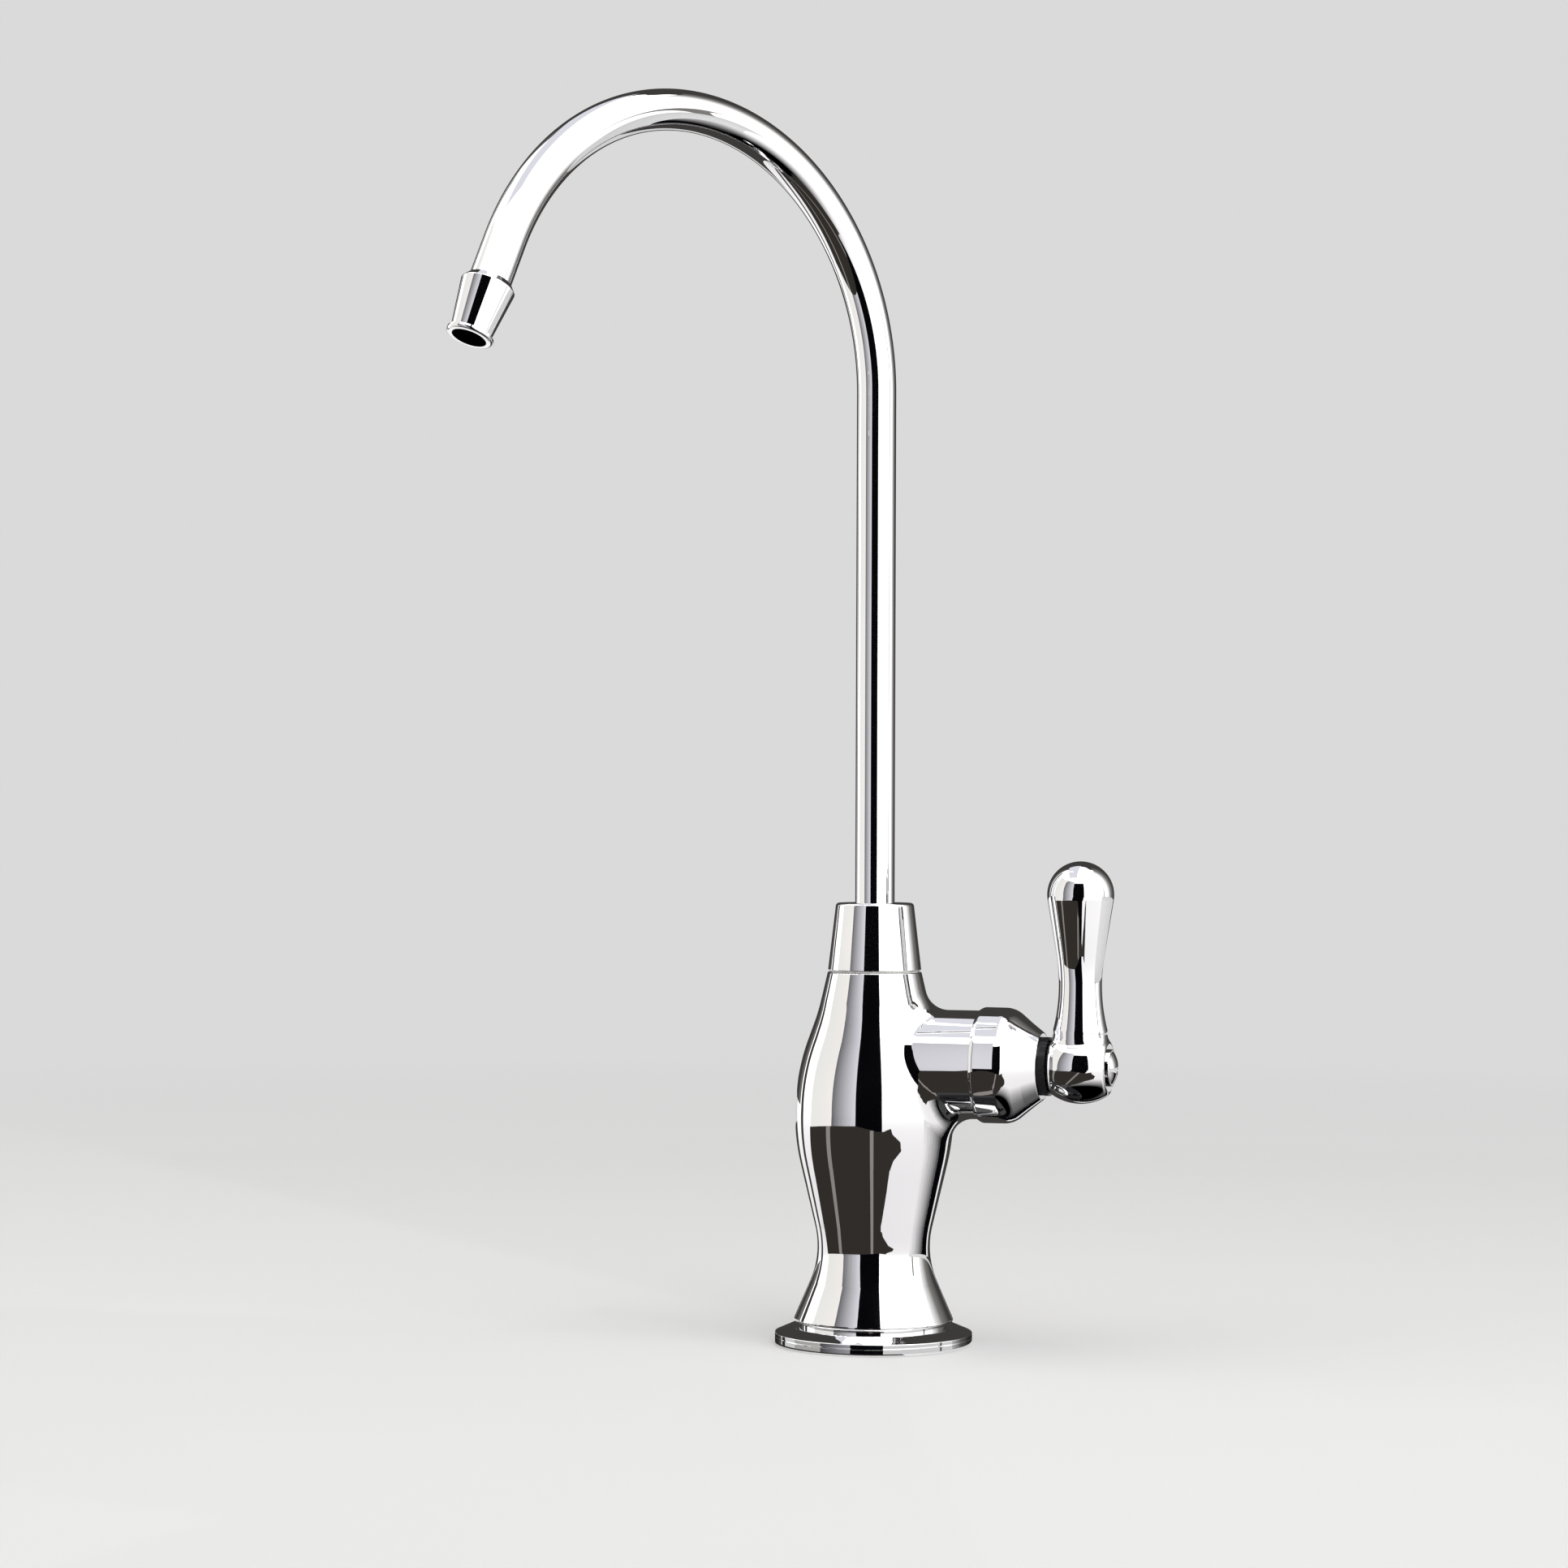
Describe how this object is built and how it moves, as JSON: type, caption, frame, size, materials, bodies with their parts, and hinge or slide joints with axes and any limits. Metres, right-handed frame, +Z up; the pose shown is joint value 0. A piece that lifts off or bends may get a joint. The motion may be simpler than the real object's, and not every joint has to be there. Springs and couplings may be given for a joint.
{
  "type": "drinking water filter tap",
  "caption": "Deck-mounted drinking water tap with a swivelling gooseneck spout and a quarter-turn side lever.",
  "frame": {"origin": "centre of the base flange's underside, on the deck", "axes": "+Z up the body's axis, +X out along the lever's turning axis, -Y the front, where the user stands"},
  "size_m": [0.1333, 0.1448, 0.364],
  "materials": {
    "chrome_plate": "mirror-bright chrome plate over brass",
    "plain_brass": "turned brass, unplated",
    "stainless_steel": "pressed stainless steel",
    "black_rubber": "moulded rubber",
    "white_ceramic": "lapped alumina ceramic",
    "white_nylon": "moulded nylon",
    "black_nylon": "moulded nylon"
  },
  "bodies": {
    "tap_body": {"base_flange": "chrome_plate", "base_gasket": "black_rubber", "valve_body": "chrome_plate", "threaded_shank": "plain_brass", "shank_seal": "black_rubber", "inlet_nut": "plain_brass", "inlet_ferrule": "plain_brass", "inlet_seal": "black_rubber", "fixed_disc": "white_ceramic", "cartridge_body": "plain_brass", "cartridge_o_ring": "black_rubber", "bonnet": "chrome_plate", "stem_bush": "black_nylon", "swivel_washer": "white_nylon"},
    "handle": {"cartridge_stem": "plain_brass", "moving_disc": "white_ceramic", "stem_o_rings": "black_rubber", "thrust_washer": "white_nylon", "stem_clip": "stainless_steel", "lever_handle": "chrome_plate", "handle_screw": "stainless_steel", "index_ring": "chrome_plate", "index_button": "chrome_plate"},
    "spout": {"spout_spigot": "plain_brass", "spout_o_rings": "black_rubber", "spout_circlip": "stainless_steel", "spout_collar": "chrome_plate", "spout_tube": "chrome_plate", "spout_nozzle": "chrome_plate"},
    "deck_clamp": {"deck_rubber_washer": "black_rubber", "deck_steel_washer": "stainless_steel", "spring_washer": "stainless_steel"},
    "clamp_nut": {"mounting_nut": "plain_brass"}
  },
  "joints": [
    {"name": "spout_swivel", "type": "hinge", "parent": "tap_body", "child": "spout", "pos_m": [0, 0, 0.0946], "axis": [0, 0, 1], "continuous": true},
    {"name": "handle_turn", "type": "hinge", "parent": "tap_body", "child": "handle", "pos_m": [0.0534, 0, 0.0712], "axis": [1, 0, 0], "range_deg": [0, 90]},
    {"name": "deck_clamp_slide", "type": "slide", "parent": "tap_body", "child": "deck_clamp", "axis": [0, 0, 1], "range_m": [-0.01, 0.018]},
    {"name": "nut_spin", "type": "hinge", "parent": "deck_clamp", "child": "clamp_nut", "pos_m": [0, 0, -0.0286], "axis": [0, 0, 1], "range_deg": [-3420, 6140]}
  ],
  "couplings": [
    {"joint": "nut_spin", "follows": "deck_clamp_slide", "rad_per_m": 5936.9}
  ]
}
